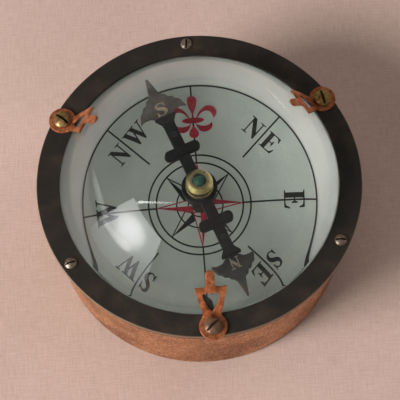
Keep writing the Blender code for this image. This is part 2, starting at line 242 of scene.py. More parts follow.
# ---- Mesh helpers ----
def finish_object(name, bm, material, location=(0.0, 0.0, 0.0), turn=0.0, sharp=40.0,
                  weighted=True):
    """Turn a bmesh into a shaded object; location is in millimetres, angles in degrees."""
    bmesh.ops.recalc_face_normals(bm, faces=bm.faces[:])
    mesh = bpy.data.meshes.new(name)
    bm.to_mesh(mesh)
    bm.free()
    mesh.shade_smooth()
    mesh.set_sharp_from_angle(angle=math.radians(sharp))
    mesh.materials.append(material)
    obj = bpy.data.objects.new(name, mesh)
    bpy.context.scene.collection.objects.link(obj)
    obj.location = Vector(location) * MM
    obj.rotation_euler.z = math.radians(turn)
    if weighted:
        obj.modifiers.new("even_shading", 'WEIGHTED_NORMAL').keep_sharp = True
    return obj


def turned(name, profile, material, steps=128, **placing):
    """Spin an (r, z) profile about Z. A profile that starts on the axis stays open there."""
    bm = bmesh.new()
    verts = [bm.verts.new((r * MM, 0.0, z * MM)) for r, z in profile]
    pairs = list(zip(verts, verts[1:]))
    if profile[0][0] > 0.0:
        pairs.append((verts[-1], verts[0]))
    edges = [bm.edges.new(pair) for pair in pairs]
    bmesh.ops.spin(bm, geom=verts + edges, cent=(0, 0, 0), axis=(0, 0, 1), dvec=(0, 0, 0),
                   angle=math.tau, steps=steps, use_merge=True, use_duplicate=False)
    bmesh.ops.remove_doubles(bm, verts=bm.verts[:], dist=1e-7)
    return finish_object(name, bm, material, **placing)


def edge_levels(bottom, top, edge, steps):
    """(inset, height) pairs up the side of a plate whose edges are rounded by edge."""
    if edge <= 0.0:
        return [(0.0, bottom), (0.0, top)]
    quarter = [math.pi / 2 * i / steps for i in range(steps + 1)]
    lower = [(edge - edge * math.sin(a), bottom + edge - edge * math.cos(a)) for a in quarter]
    return lower + [(inset, bottom + top - height) for inset, height in reversed(lower)]


def plate_mesh(loops, bottom, top, edge=0.0, steps=3, into=None):
    """A plate with rounded edges. The first loop is its outline and the others are holes."""
    bm = into if into is not None else bmesh.new()
    caps = [[], []]
    for index, loop in enumerate(loops):
        if (signed_area(loop) > 0) != (index == 0):
            loop = loop[::-1]
        rings = [[bm.verts.new((x * MM, y * MM, height * MM)) for x, y in moved_in(loop, inset)]
                 for inset, height in edge_levels(bottom, top, edge, steps)]
        for lower, upper in zip(rings, rings[1:]):
            for i in range(len(lower)):
                bm.faces.new((lower[i - 1], lower[i], upper[i], upper[i - 1]))
        for cap, ring in zip(caps, (rings[0], rings[-1])):
            cap.extend(bm.edges.get((ring[i - 1], ring[i])) for i in range(len(ring)))
    for cap in caps:
        bmesh.ops.triangle_fill(bm, use_beauty=True, edges=cap)
    return bm


def modify(obj, kind, **settings):
    """Bake a modifier of that kind into the object's mesh, after any it already has."""
    modifier = obj.modifiers.new(kind.lower(), kind)
    for name, value in settings.items():
        setattr(modifier, name, value)
    graph = bpy.context.evaluated_depsgraph_get()
    mesh = bpy.data.meshes.new_from_object(obj.evaluated_get(graph))
    obj.modifiers.clear()
    old, obj.data = obj.data, mesh
    mesh.name = obj.name
    bpy.data.meshes.remove(old)


# ---- How pieces hang on the frame ----
BODY_OF = {node: body for body, nodes in frame["record"]["behaviour"]["bodies"].items()
           for node in nodes}


def attach(piece, slot, *nodes, body=None):
    """Ride the piece on its CAD nodes' body, in their place; slot is not used."""
    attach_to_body(piece, body or BODY_OF[nodes[0]])
    if nodes:
        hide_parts(*nodes)


def attach_turned(name, corners, material, slot, node, steps=128, **placing):
    """Turn a profile given as filleted()'s corners, and attach it in its CAD node's place."""
    profile = filleted(corners, closed=corners[0][0] > 0.0)
    attach(turned(name, profile, material, steps, **placing), slot, node)


# ---- Materials ----
class Finish:
    """One procedural material: a Principled shader and short calls for its nodes."""

    def __init__(self, name, **constants):
        self.material = bpy.data.materials.new(name)
        self.material.use_nodes = True
        self.nodes = self.material.node_tree.nodes
        self.links = self.material.node_tree.links
        self.shader = self.nodes["Principled BSDF"]
        for socket, value in constants.items():
            self.shader.inputs[socket.replace("_", " ")].default_value = value
        coordinates = self.nodes.new("ShaderNodeTexCoord").outputs["Object"]
        self.place = self.node("ShaderNodeVectorMath", {0: coordinates, "Scale": 1 / MM},
                               operation='SCALE').outputs[0]

    def node(self, kind, inputs, **settings):
        made = self.nodes.new(kind)
        for name, value in settings.items():
            setattr(made, name, value)
        for name, value in inputs.items():
            if isinstance(value, bpy.types.NodeSocket):
                self.links.new(value, made.inputs[name])
            else:
                made.inputs[name].default_value = value
        return made

    def noise(self, per_mm, detail=3.0, roughness=0.55, stretch=(1.0, 1.0, 1.0), shift=0.0):
        """Cloudy noise from about 0.3 to 0.7, with per_mm cells in each millimetre."""
        place = self.node("ShaderNodeVectorMath", {0: self.place, 1: stretch, 2: (shift,) * 3},
                          operation='MULTIPLY_ADD').outputs[0]
        return self.node("ShaderNodeTexNoise", {"Vector": place, "Scale": per_mm, "Detail": detail,
                                                "Roughness": roughness}).outputs["Fac"]

    def cells(self, per_mm):
        return self.node("ShaderNodeTexVoronoi",
                         {"Vector": self.place, "Scale": per_mm}).outputs["Distance"]

    def radius(self):
        """Distance from the piece's Z axis, in millimetres."""
        flat = self.node("ShaderNodeVectorMath", {0: self.place, 1: (1.0, 1.0, 0.0)},
                         operation='MULTIPLY').outputs[0]
        return self.node("ShaderNodeVectorMath", {0: flat}, operation='LENGTH').outputs["Value"]

    def distance(self, point):
        """Distance from a point in the piece's own space, in millimetres."""
        return self.node("ShaderNodeVectorMath", {0: self.place, 1: point},
                         operation='DISTANCE').outputs["Value"]

    def height(self):
        return self.node("ShaderNodeSeparateXYZ", {0: self.place}).outputs["Z"]

    def math(self, operation, a, b=0.0):
        return self.node("ShaderNodeMath", {0: a, 1: b}, operation=operation).outputs[0]

    def product(self, a, b):
        return self.math('MULTIPLY', a, b)

    def weighed(self, a, share, b):
        """share parts of a and the rest of b."""
        return self.math('ADD', self.product(a, share), self.product(b, 1.0 - share))

    def levels(self, value, low, high, to_low=0.0, to_high=1.0, **settings):
        return self.node("ShaderNodeMapRange", {"Value": value, "From Min": low, "From Max": high,
                                                "To Min": to_low, "To Max": to_high},
                         **settings).outputs[0]

    def vary(self, noise, at_low, at_high):
        """A value that follows the noise over its usual range."""
        return self.levels(noise, 0.3, 0.7, at_low, at_high)

    def ramp(self, value, *stops):
        """Colour along stops given as (position, (r, g, b))."""
        made = self.node("ShaderNodeValToRGB", {"Fac": value})
        elements = made.color_ramp.elements
        while len(elements) < len(stops):
            elements.new(0.5)
        for element, (position, colour) in zip(elements, stops):
            element.position = position
            element.color = (*colour, 1.0)
        return made.outputs["Color"]

    def mix(self, factor, a, b):
        """Colour a where factor is 0 and b where it is 1."""
        a, b = [(*colour, 1.0) if isinstance(colour, tuple) else colour for colour in (a, b)]
        return self.node("ShaderNodeMix", {0: factor, 6: a, 7: b}, data_type='RGBA').outputs[2]

    def feed(self, **sockets):
        for name, value in sockets.items():
            self.links.new(value, self.shader.inputs[name.replace("_", " ")])

    def bump(self, height, depth, strength=1.0):
        """Raise the surface by height times depth millimetres; calls add up."""
        made = self.node("ShaderNodeBump", {"Height": height, "Distance": depth * MM,
                                            "Strength": strength})
        normal = self.shader.inputs["Normal"]
        if normal.is_linked:
            self.links.new(normal.links[0].from_socket, made.inputs["Normal"])
        self.links.new(made.outputs["Normal"], normal)

    def surface(self, colour, noise, rough_at_low, rough_at_high, depth, strength):
        """Set the colour, and a roughness and relief that follow the noise."""
        self.feed(Base_Color=colour, Roughness=self.vary(noise, rough_at_low, rough_at_high))
        self.bump(noise, depth, strength)
        return self.material


class Glow(Finish):
    """A studio panel's light: an emission shader in the Principled one's place."""

    def __init__(self, name):
        super().__init__(name)
        self.nodes.remove(self.shader)
        self.shader = self.nodes.new("ShaderNodeEmission")
        self.links.new(self.shader.outputs[0], self.nodes["Material Output"].inputs["Surface"])


def case_copper():
    f = Finish("case_copper", Metallic=0.9)
    grain = f.noise(1.5, detail=4.0, roughness=0.7)
    tarnish = f.noise(0.09)
    bright = f.ramp(grain, (0.34, (0.29, 0.120, 0.055)), (0.45, (0.52, 0.25, 0.12)),
                    (0.56, (0.66, 0.35, 0.18)), (0.70, (0.84, 0.57, 0.37)))
    dull = f.ramp(grain, (0.34, (0.17, 0.068, 0.034)), (0.5, (0.38, 0.17, 0.085)),
                  (0.7, (0.60, 0.33, 0.185)))
    body = f.mix(f.levels(tarnish, 0.42, 0.62), bright, dull)
    # The flange's rim under the bezel is painted dark brown: painted shade under the bezel's
    # overhang.
    rim = f.product(f.levels(f.radius(), WALL_RADIUS + 1.2, WALL_RADIUS + 2.2),
                    f.levels(f.height(), FLANGE_UNDER - 0.2, FLANGE_UNDER + 0.5))
    colour = f.mix(f.product(rim, 0.85), body, (0.11, 0.062, 0.036))
    f.surface(colour, grain, 0.62, 0.40, 0.16, 0.8)
    f.bump(f.cells(1.1), 0.10, 0.5)
    return f.material


def bezel_bronze():
    f = Finish("bezel_bronze", Metallic=0.5)
    fine = f.noise(2.2, detail=5.0, roughness=0.6)
    blotch = f.noise(0.16, detail=4.0, roughness=0.6)
    dark = f.ramp(blotch, (0.35, (0.024, 0.0225, 0.0205)), (0.52, (0.033, 0.0275, 0.0235)),
                  (0.68, (0.054, 0.039, 0.028)))
    speck = f.levels(fine, 0.62, 0.75)
    dark = f.mix(f.product(speck, 0.5), dark, (0.10, 0.075, 0.05))
    # Worn brass on the outer side and its edges.
    wear = f.noise(0.45, detail=4.0)
    outside = f.levels(f.math('ADD', f.radius(), f.product(wear, 0.5)),
                       BEZEL_RADIUS - 0.06, BEZEL_RADIUS + 0.14)
    below_top = f.levels(f.height(), BEZEL_TOP + 0.04, BEZEL_TOP - 0.24)
    colour = f.mix(f.product(outside, below_top), dark, (0.25, 0.175, 0.105))
    f.surface(colour, fine, 0.52, 0.34, 0.03, 0.6)
    f.bump(blotch, 0.10, 0.35)
    return f.material


def clip_copper():
    f = Finish("clip_copper", Metallic=0.75)
    brushed = f.noise(3.0, stretch=(1.0, 0.22, 1.0))
    stain = f.noise(0.5, detail=4.0, shift=7.0)
    colour = f.ramp(stain, (0.32, (0.24, 0.070, 0.026)), (0.46, (0.44, 0.140, 0.054)),
                    (0.62, (0.62, 0.225, 0.095)))
    f.surface(colour, brushed, 0.24, 0.44, 0.02, 0.5)
    f.bump(stain, 0.08, 0.4)
    return f.material


def dome_of(head, rim_top, top):
    """Centre height and radius of the ball that a screw head's dome is part of."""
    crown = top - rim_top
    ball = (head ** 2 + crown ** 2) / (2 * crown)
    return top - ball, ball


def aged_brass(name, dark, light, roughness, metallic=1.0, slot_in=None,
               slot_shade_tone=(0.012, 0.009, 0.007)):
    """Stained brass; slot_in is (head radius, rim top, top) of a head whose slot is painted in its
    own tone: painted shade in the slot.
    """
    f = Finish(name, Metallic=metallic)
    stain = f.noise(0.8, detail=4.0, shift=3.0)
    fine = f.noise(5.0)
    colour = f.ramp(stain, (0.34, dark), (0.62, light))
    if slot_in:
        head = slot_in[0]
        centre, ball = dome_of(*slot_in)
        # Inside the slot the colour turns to the slot's tone: painted shade.
        under_dome = f.levels(f.distance((0.0, 0.0, centre)), ball - 0.08, ball - 0.2)
        inside_rim = f.levels(f.radius(), head - 0.1, head - 0.25)
        colour = f.mix(f.product(under_dome, inside_rim), colour, slot_shade_tone)
    return f.surface(colour, fine, roughness + 0.1, roughness - 0.08, 0.015, 0.5)


def turned_brass():
    """Lathe-turned brass: fine rings about the needle's axis."""
    f = Finish("hub_brass", Metallic=1.0)
    rings = f.math('SINE', f.product(f.radius(), 42.0))
    stain = f.noise(0.9, detail=4.0)
    dull = f.ramp(stain, (0.34, (0.44, 0.35, 0.18)), (0.6, (0.62, 0.51, 0.29)))
    polished = f.ramp(stain, (0.34, (0.62, 0.50, 0.20)), (0.6, (0.85, 0.70, 0.34)))
    low, high = HUB_GROOVE
    # The groove is painted near black: painted shade in the recess.
    groove_shade = f.product(f.levels(f.height(), low - 0.1, low), f.levels(f.height(), high + 0.1, high))
    groove_shade = f.product(groove_shade, f.levels(f.radius(), HUB_RADIUS - 0.02, HUB_RADIUS - 0.1))
    colour = f.mix(f.levels(f.radius(), 2.0, 2.2), dull, polished)
    f.feed(Base_Color=f.mix(groove_shade, colour, (0.020, 0.014, 0.008)),
           Roughness=f.vary(stain, 0.38, 0.26))
    f.bump(rings, 0.006, 0.5)
    return f.material


def dial_card():
    f = Finish("dial_card")
    cloud = f.noise(0.10)
    fibre = f.noise(3.5, detail=4.0, roughness=0.7)
    tone = f.weighed(cloud, 0.6, fibre)
    printed_zone = f.ramp(tone, (0.36, (0.40, 0.440, 0.405)), (0.64, (0.50, 0.540, 0.50)))
    margin = f.ramp(tone, (0.36, (0.62, 0.63, 0.61)), (0.64, (0.72, 0.73, 0.71)))
    colour = f.mix(f.levels(f.radius(), RING_A + 0.1, RING_A + 0.5), printed_zone, margin)
    return f.surface(colour, fibre, 0.70, 0.5, 0.012, 0.5)


def printed(name, dark, light):
    f = Finish(name, Specular_IOR_Level=0.2)
    coverage = f.noise(2.6, detail=4.0)
    colour = f.ramp(coverage, (0.38, dark), (0.66, light))
    return f.surface(colour, coverage, 0.34, 0.5, 0.008, 0.4)


def painted(name, dark, light, roughness):
    f = Finish(name)
    cloud = f.noise(0.2)
    grain = f.noise(1.2, detail=4.0)
    tone = f.weighed(cloud, 0.5, grain)
    colour = f.ramp(tone, (0.36, dark), (0.64, light))
    return f.surface(colour, grain, roughness + 0.08, roughness - 0.08, 0.03, 0.4)


def dark_metal(name, dark, light, roughness, metallic, gloss=0.5):
    f = Finish(name, Metallic=metallic, Specular_IOR_Level=gloss)
    stain = f.noise(0.35, detail=4.0, shift=5.0)
    fine = f.noise(4.0, stretch=(1.0, 0.3, 1.0))
    colour = f.ramp(stain, (0.36, dark), (0.64, light))
    return f.surface(colour, fine, roughness + 0.1, roughness - 0.08, 0.014, 0.5)


def felt():
    f = Finish("pad_felt", Roughness=0.95, Sheen_Weight=0.4, Sheen_Roughness=0.5)
    fibre = f.noise(2.2, detail=5.0, roughness=0.75)
    f.feed(Base_Color=f.ramp(fibre, (0.34, (0.006, 0.030, 0.014)), (0.66, (0.030, 0.11, 0.055))))
    f.bump(fibre, 0.30, 0.9)
    return f.material


def lens_glass():
    return Finish("lens_glass", Base_Color=(0.97, 1.0, 0.98, 1.0), IOR=1.5, Roughness=0.0,
                  Transmission_Weight=1.0).material


def jewel_stone():
    f = Finish("jewel_green", IOR=1.54, Coat_Weight=0.6, Coat_Roughness=0.05)
    vein = f.noise(0.9, detail=5.0, roughness=0.65, shift=2.0)
    f.feed(Base_Color=f.ramp(vein, (0.36, (0.008, 0.032, 0.024)), (0.52, (0.018, 0.075, 0.056)),
                             (0.68, (0.045, 0.15, 0.11))),
           Roughness=f.vary(vein, 0.28, 0.14))
    return f.material


def floor_cloth():
    """Pale pink plain-woven cloth for the table."""
    f = Finish("floor_cloth", Sheen_Weight=0.1)
    along = f.noise(1.0, detail=2.0, stretch=(2.4, 0.22, 1.0))
    across = f.noise(1.0, detail=2.0, stretch=(0.22, 2.4, 1.0), shift=11.0)
    threads = f.weighed(along, 0.5, across)
    tone = f.weighed(threads, 0.6, f.noise(0.012))
    colour = f.ramp(tone, (0.36, (0.365, 0.258, 0.216)), (0.64, (0.475, 0.350, 0.306)))
    return f.surface(colour, threads, 0.95, 0.8, 0.25, 0.5)


CASE_COPPER = case_copper()
BEZEL_BRONZE = bezel_bronze()
CLIP_COPPER = clip_copper()
# The slot tones below are painted shade in the screws' slots.
SCREW_BRASS = aged_brass("screw_brass", (0.20, 0.12, 0.045), (0.46, 0.29, 0.12), 0.32,
                         metallic=0.8, slot_in=CLIP_SCREW_HEAD)
SCREW_BROWN = aged_brass("screw_brown", (0.13, 0.072, 0.045), (0.26, 0.155, 0.105), 0.36,
                         metallic=0.7, slot_in=CLIP_SCREW_HEAD, slot_shade_tone=(0.110, 0.062, 0.040))
SCREW_YELLOW = aged_brass("screw_yellow", (0.22, 0.135, 0.040), (0.50, 0.33, 0.10), 0.32,
                          metallic=0.8, slot_in=CLIP_SCREW_HEAD, slot_shade_tone=(0.085, 0.045, 0.014))
SCREW_BRONZE = aged_brass("screw_bronze", (0.20, 0.145, 0.105), (0.46, 0.36, 0.28), 0.36,
                          metallic=0.85, slot_in=BEZEL_SCREW_HEAD)
HUB_BRASS = turned_brass()
PLATE_BRASS = aged_brass("plate_brass", (0.40, 0.27, 0.12), (0.62, 0.45, 0.22), 0.4)
LETTER_BRASS = aged_brass("letter_brass", (0.46, 0.36, 0.25), (0.80, 0.68, 0.50), 0.4)
DIAL_CARD = dial_card()
INK_BLACK = printed("ink_black", (0.006, 0.008, 0.008), (0.016, 0.020, 0.018))
INK_RED = printed("ink_red", (0.26, 0.008, 0.020), (0.42, 0.018, 0.040))
SLEEVE_WHITE = painted("sleeve_white", (0.84, 0.85, 0.82), (0.92, 0.93, 0.91), 0.35)
GASKET_RUBBER = painted("gasket_rubber", (0.40, 0.40, 0.38), (0.54, 0.54, 0.52), 0.65)
LENS_GLASS = lens_glass()
BLADE_BLACK = dark_metal("blade_black", (0.003, 0.003, 0.003), (0.009, 0.009, 0.009), 0.5, 0.0,
                         gloss=0.25)
HEAD_GREY = dark_metal("head_grey", (0.095, 0.080, 0.076), (0.19, 0.165, 0.155), 0.5, 0.5)
HEAD_DARK = dark_metal("head_dark", (0.036, 0.035, 0.035), (0.080, 0.075, 0.072), 0.5, 0.5)
# Near black as painted shade, so the pivot column blends into the shadow under the needle's boss.
PIVOT_SHADE_DARK = aged_brass("pivot_painted_shade", (0.020, 0.016, 0.011), (0.060, 0.048, 0.030), 0.5)
PIVOT_STEEL = dark_metal("pivot_steel", (0.40, 0.40, 0.41), (0.60, 0.60, 0.60), 0.3, 1.0)
RIVET_STEEL = dark_metal("rivet_steel", (0.010, 0.010, 0.010), (0.030, 0.028, 0.027), 0.45, 0.5)
JEWEL_GREEN = jewel_stone()
PAD_FELT = felt()


# ---- Case, bezel and lens ----
def build_case():
    low, high = span("base_pad")
    recess = high.x + 0.5
    floor_under = CASE_FOOT + PAD_RECESS
    floor_top = floor_under + CASE_FLOOR
    attach_turned("case_shell", [
        (0.0, floor_under), (recess, floor_under, 0.3), (recess, CASE_FOOT, 0.25),
        (WALL_RADIUS, CASE_FOOT, 0.9), (WALL_RADIUS, FLANGE_UNDER - 0.2, 0.35),
        (FLANGE_RADIUS, FLANGE_UNDER, 0.3), (FLANGE_RADIUS, CASE_TOP, 0.15),
        (CASE_INNER_RADIUS, CASE_TOP, 0.3), (CASE_INNER_RADIUS, floor_top, 1.2),
        (0.0, floor_top)], CASE_COPPER, "case_copper", "case_bowl", steps=192)
    attach_turned("base_felt", [
        (0.0, low.z), (high.x, low.z, 0.25), (high.x, high.z + GAP, 0.1), (0.0, high.z + GAP)],
        PAD_FELT, "pad_felt", "base_pad")


def build_bezel():
    under, soft = CASE_TOP + SKIN, 0.22
    attach_turned("bezel_plate", [
        (BEZEL_INNER_RADIUS, under, 0.1), (BEZEL_RADIUS, under, 0.15),
        (BEZEL_RADIUS, BEZEL_TOP, soft), (BEZEL_INNER_RADIUS, BEZEL_TOP, soft)],
        BEZEL_BRONZE, "bezel_bronze", "bezel_ring", steps=192)


def build_lens():
    centre = LENS_TOP - DOME_RADIUS
    edge_angle = math.degrees(math.acos((LENS_RADIUS - 0.05) / DOME_RADIUS))
    dome = arc((0.0, centre), DOME_RADIUS, edge_angle, 90, 56)
    dome[-1] = (0.0, dome[-1][1])
    profile = [(0.0, LENS_FLAT), (LENS_RADIUS - 0.15, LENS_FLAT), (LENS_RADIUS, LENS_FLAT + 0.15),
               (LENS_RADIUS, dome[0][1] - 0.1), *dome]
    lens = turned("lens_dome", profile, LENS_GLASS, steps=192, sharp=20.0, weighted=False)
    attach(lens, "lens_glass", "dome_lens")

    low, high = span("lens_gasket")
    inner, seat = SLEEVE_INNER_RADIUS, LENS_FLAT - SKIN
    attach_turned("lens_seat", [
        (inner, low.z, 0.15), (high.x, low.z, 0.15), (high.x, seat, 0.15), (inner, seat, 0.25)],
        GASKET_RUBBER, "gasket_rubber", "lens_gasket")

    foot, top = DIAL_TOP + 0.05, SLEEVE_TOP + GAP
    attach_turned("dial_sleeve", [
        (inner, foot, 0.2), (SLEEVE_RADIUS, foot), (SLEEVE_RADIUS, top), (inner, top, 0.3)],
        SLEEVE_WHITE, "sleeve_white", "spacer_sleeve")


# ---- Screws ----
def slotted_screw(node, seat, sizes, slot_turn, slot_depth, material):
    """A dome-head screw on its CAD screw's axis, with a rounded rim and a sawn slot."""
    foot = span(node)[0].z
    x, y = middle(node).xy
    head, rim_top, top = sizes
    centre, ball = dome_of(*sizes)
    half = math.degrees(math.asin(head / ball))
    dome = arc((0.0, centre), ball, 90 - half, 90, 10)
    dome[-1] = (0.0, top)
    soft = 0.12
    shank = 0.52 * head
    start = filleted([(0.0, foot), (shank, foot), (shank, seat), (head - soft, seat, 0.08),
                      (head, seat + soft), (head, rim_top - soft, 0.1), dome[1]], closed=False)
    screw = turned(node + "_head", start + dome[2:], material, steps=56, location=(x, y, 0.0))

    blade = plate_mesh([line((-2 * head, 0.0), (2 * head, 0.0), 0.27 * head)],
                       top - slot_depth, top + 1.0)
    slot = finish_object(node + "_slot", blade, material, location=(x, y, 0.0), turn=slot_turn,
                         weighted=False)
    modify(screw, 'BOOLEAN', operation='DIFFERENCE', solver='EXACT', object=slot)
    bpy.data.objects.remove(slot)
    modify(screw, 'BEVEL', width=0.05 * MM, segments=2, limit_method='ANGLE',
           angle_limit=math.radians(50))
    screw.data.set_sharp_from_angle(angle=math.radians(35))
    attach(screw, "screw_brass", node)


def build_screws():
    for side, slot_turn, brass in zip(CLIP_SIDES, (40.0, 100.0, -42.0),
                                      (SCREW_BROWN, SCREW_YELLOW, SCREW_BRASS)):
        slotted_screw("clip_screw_" + side, CLIP_SCREW_SEAT, CLIP_SCREW_HEAD, slot_turn, 0.85,
                      brass)
    for side, slot_turn in zip(BEZEL_SCREW_SIDES, (85.0, -6.0, 15.0)):
        slotted_screw("bezel_screw_" + side, BEZEL_SCREW_SEAT, BEZEL_SCREW_HEAD, slot_turn, 0.62,
                      SCREW_BRONZE)


# ---- Lens clips ----
def clip_path(s, normal):
    """Point (reach, height) on the clip's bent centre line, at length s from the screw's axis.

    normal moves the point off the centre line, up where the clip lies flat.
    """
    level = BEZEL_TOP + GAP + CLIP_THICKNESS / 2 - CLIP_DROP
    rise = math.radians(CLIP_RISE)
    bent = min(max(s - CLIP_FLAT, 0.0) / CLIP_BEND, rise)
    slope = bent - max(s - CLIP_FLAT - CLIP_BEND * rise, 0.0) / CLIP_ARM_RADIUS
    reach = (min(s, CLIP_FLAT) + CLIP_BEND * math.sin(bent)
             + CLIP_ARM_RADIUS * (math.sin(bent) - math.sin(slope)))
    height = (level + CLIP_BEND * (1 - math.cos(bent))
              + CLIP_ARM_RADIUS * (math.cos(slope) - math.cos(bent)))
    return reach - normal * math.sin(slope), height + normal * math.cos(slope)


CLIP_LENGTH = (CLIP_FLAT + CLIP_BEND * math.radians(CLIP_RISE)
               + CLIP_ARM_RADIUS * math.radians(CLIP_RISE - CLIP_TIP_SLOPE))


def clip_outline():
    """The flat blank: tongue, flared shoulders, waisted neck and eye, along +Y from the eye."""
    neck, shoulder, tongue = 2.45, 4.25, 1.2
    shoulder_at = CLIP_LENGTH - 4.9
    eye_join = math.degrees(math.asin(neck / CLIP_EYE_RADIUS))
    right = filleted([
        *arc((0.0, CLIP_LENGTH - tongue), tongue, 90, 0, 8), (tongue, shoulder_at + 0.25, 0.35),
        (shoulder - 1.2, shoulder_at - 0.02, 1.5), (shoulder, shoulder_at + 0.35, 0.18),
        (shoulder - 0.35, shoulder_at - 1.6, 1.5), (neck + 0.2, 5.0, 2.5),
        (neck, 3.1, 0.6)], closed=False, degrees_per_step=12.0)
    right += arc((0.0, 0.0), CLIP_EYE_RADIUS, 90 - eye_join, -90, 36)[1:]
    return mirrored(right)


def clip_window():
    """Heart-like window: a point towards the eye and a nearly straight top."""
    top = CLIP_LENGTH - 6.45
    right = filleted([(0.0, top - 0.12), (1.0, top + 0.02, 0.8), (2.2, top - 0.1, 0.45),
                      (2.2, top - 1.3, 0.8), (1.25, 6.4, 1.5), (0.16, 4.4, 0.1)],
                     closed=False, degrees_per_step=12.0)
    return mirrored(right)


def build_clips():
    half, hole = CLIP_THICKNESS / 2, 1.5
    for side in CLIP_SIDES:
        eye = middle("clip_screw_" + side)
        bm = plate_mesh([clip_outline(), circle((0.0, 0.0), hole, 36), clip_window()],
                        -half, half, edge=0.16)
        # Rows of points for the blank to bend at, closest in the tight first bend.
        cut_at = CLIP_FLAT
        while cut_at < CLIP_LENGTH:
            bmesh.ops.bisect_plane(bm, geom=bm.verts[:] + bm.edges[:] + bm.faces[:], dist=1e-7,
                                   plane_co=(0, cut_at * MM, 0), plane_no=(0, 1, 0))
            cut_at += 0.12 if cut_at < CLIP_FLAT + 1.2 else 0.45
        for vert in bm.verts:
            reach, height = clip_path(vert.co.y / MM, vert.co.z / MM)
            vert.co.y = reach * MM
            vert.co.z = height * MM
        turn = math.degrees(math.atan2(eye.y, eye.x)) + 90.0
        clip = finish_object("clip_spring_" + side, bm, CLIP_COPPER, location=(eye.x, eye.y, 0.0),
                             turn=turn)
        attach(clip, "clip_copper", "lens_clip_" + side)


# ---- Letters ----
def stroke(knots):
    """A closed outline round a curved centre line, from knots (x, y, half width)."""
    path = smooth_path(knots, per=8)
    left, right = [], []
    for before, (x, y, half), after in zip(path[:1] + path, path, path[1:] + path[-1:]):
        along = (Vector(after[:2]) - Vector(before[:2])).normalized()
        left.append((x - along.y * half, y + along.x * half))
        right.append((x + along.y * half, y - along.x * half))
    return left + right[::-1]


# Serif capitals one unit tall, as (width, outlines).
GLYPH_E = (0.86, [[
    (0.0, 0.0), (0.80, 0.0), (0.86, 0.29), (0.815, 0.29), (0.70, 0.09), (0.56, 0.06), (0.35, 0.06),
    (0.35, 0.475), (0.50, 0.475), (0.555, 0.36), (0.60, 0.36), (0.60, 0.66), (0.555, 0.66),
    (0.50, 0.54), (0.35, 0.54), (0.35, 0.94), (0.54, 0.94), (0.68, 0.91), (0.775, 0.74),
    (0.82, 0.74), (0.79, 1.0), (0.0, 1.0), (0.0, 0.955), (0.11, 0.93), (0.11, 0.07), (0.0, 0.045)]])
GLYPH_N = (0.96, [[
    (0.0, 0.0), (0.34, 0.0), (0.34, 0.045), (0.205, 0.07), (0.205, 0.74), (0.745, -0.02),
    (0.82, -0.02), (0.82, 0.93), (0.96, 0.955), (0.96, 1.0), (0.60, 1.0), (0.60, 0.955),
    (0.75, 0.93), (0.75, 0.36), (0.30, 1.0), (0.0, 1.0), (0.0, 0.955), (0.14, 0.92), (0.14, 0.07),
    (0.0, 0.045)]])
GLYPH_W = (1.38, [[
    (0.0, 1.0), (0.0, 0.955), (0.10, 0.93), (0.405, -0.02), (0.475, -0.02), (0.67, 0.58),
    (0.865, -0.02), (0.935, -0.02), (1.255, 0.93), (1.38, 0.955), (1.38, 1.0), (1.05, 1.0),
    (1.05, 0.955), (1.185, 0.93), (0.985, 0.33), (0.80, 0.93), (0.92, 0.955), (0.92, 1.0),
    (0.46, 1.0), (0.46, 0.955), (0.56, 0.93), (0.63, 0.71), (0.53, 0.38), (0.345, 0.93),
    (0.45, 0.955), (0.45, 1.0)]])
GLYPH_S = (0.66, [
    stroke([(0.575, 0.70, 0.012), (0.525, 0.87, 0.028), (0.34, 0.965, 0.032), (0.145, 0.86, 0.075),
            (0.165, 0.66, 0.105), (0.335, 0.535, 0.115), (0.505, 0.40, 0.110), (0.53, 0.20, 0.085),
            (0.36, 0.04, 0.034), (0.17, 0.075, 0.028), (0.075, 0.30, 0.012)]),
    [(0.55, 0.68), (0.60, 0.68), (0.60, 1.0), (0.565, 1.0), (0.515, 0.90)],
    [(0.04, 0.34), (0.04, -0.01), (0.075, -0.01), (0.135, 0.10), (0.09, 0.34)]])


def placed(glyph, along, right, angle, height, wide=1.0):
    """A glyph's outlines on the dial, its top outwards at angle degrees from +X."""
    width, outlines = glyph
    up = Vector(polar(1.0, angle))
    side = Vector((up.y, -up.x))
    return [[tuple(up * (along + (y - 0.5) * height)
                   + side * (right + (x - width / 2) * height * wide)) for x, y in outline]
            for outline in outlines]


# ---- Dial ----
def fleur_outlines():
    """The fleur-de-lis: top petal, side petals, band, tails and drop, pointing along +Y."""
    petal = smooth_path([(0.0, 16.4), (0.16, 17.1), (0.62, 18.2), (0.84, 19.2), (0.66, 19.95),
                         (0.0, 20.3)])
    side = (smooth_path([(0.60, 16.3), (1.00, 17.1), (1.60, 17.8), (2.45, 18.33), (3.25, 18.33),
                         (3.88, 17.95), (4.25, 17.3), (4.15, 16.7), (3.70, 16.05)])
            + smooth_path([(3.70, 16.05), (3.48, 16.8), (3.05, 17.3), (2.30, 17.45), (1.55, 17.15),
                           (1.05, 16.6), (0.78, 16.3)])[1:-1])
    tail = (smooth_path([(0.30, 15.45), (0.78, 15.06), (1.45, 14.86), (2.20, 14.80), (2.90, 15.02),
                         (3.28, 15.45)])
            + smooth_path([(3.28, 15.45), (3.42, 14.7), (2.90, 14.02), (1.95, 13.74), (1.14, 14.02),
                           (0.66, 14.7)])[1:])
    drop = smooth_path([(0.0, 14.95), (0.20, 14.65), (0.62, 14.1), (0.86, 13.5), (0.66, 12.95),
                        (0.0, 12.68)])
    band = smooth_path([(0.0, 16.38), (0.9, 16.34), (1.55, 16.20), (1.98, 15.88), (1.55, 15.56),
                        (0.85, 15.40), (0.0, 15.36)])

    def flipped(outline):
        return [(-x, y) for x, y in outline]

    return [mirrored(petal), side, flipped(side), tail, flipped(tail), mirrored(drop),
            mirrored(band)]


